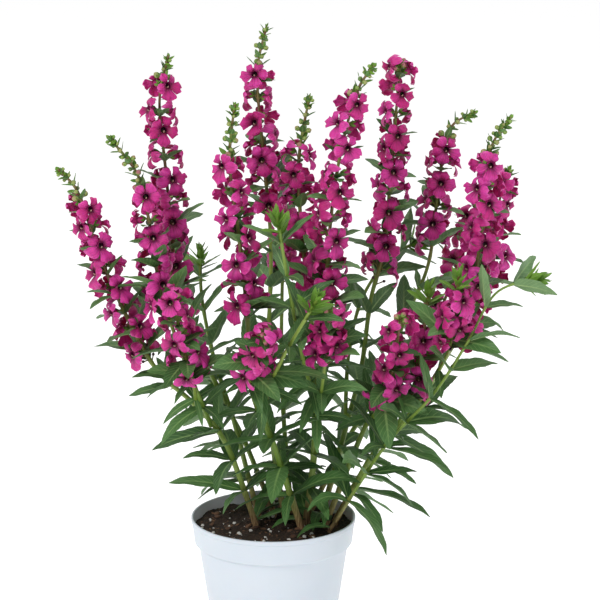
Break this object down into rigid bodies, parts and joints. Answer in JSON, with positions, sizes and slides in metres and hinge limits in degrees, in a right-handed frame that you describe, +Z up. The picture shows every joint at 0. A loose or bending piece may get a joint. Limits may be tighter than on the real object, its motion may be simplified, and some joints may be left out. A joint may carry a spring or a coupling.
{
  "type": "potted summer snapdragon",
  "caption": "Flowering plant in a round nursery pot of potting soil: branched leafy stems that end in tall spikes of five-petalled magenta flowers",
  "frame": {"origin": "centre of the underside of the pot, on the surface that it stands on", "axes": "+Z up, -Y towards the side that the picture shows, +X to the right of that view"},
  "size_m": [0.3748, 0.2565, 0.5022],
  "materials": {
    "pot": "satin",
    "soil": "matte",
    "leafage": "satin",
    "petals": "matte"
  },
  "bodies": {
    "root": {"flowers_a": "petals", "flowers_a_low": "petals", "flowers_b": "petals", "flowers_c": "petals", "flowers_d": "petals", "flowers_d_low": "petals", "flowers_e": "petals", "flowers_f": "petals", "flowers_f_low": "petals", "flowers_g": "petals", "flowers_h": "petals", "flowers_i": "petals", "flowers_i_low": "petals", "flowers_j": "petals", "flowers_j_low": "petals", "flowers_k": "petals", "flowers_q": "petals", "flowers_x1": "petals", "flowers_x2": "petals", "flowers_x3": "petals", "leafy_stem_1": "leafage", "leafy_stem_10": "leafage", "leafy_stem_11": "leafage", "leafy_stem_12": "leafage", "leafy_stem_2": "leafage", "leafy_stem_3": "leafage", "leafy_stem_4": "leafage", "leafy_stem_5": "leafage", "leafy_stem_6": "leafage", "leafy_stem_7": "leafage", "leafy_stem_8": "leafage", "leafy_stem_9": "leafage", "pot": "pot", "soil": "soil"}
  },
  "joints": []
}
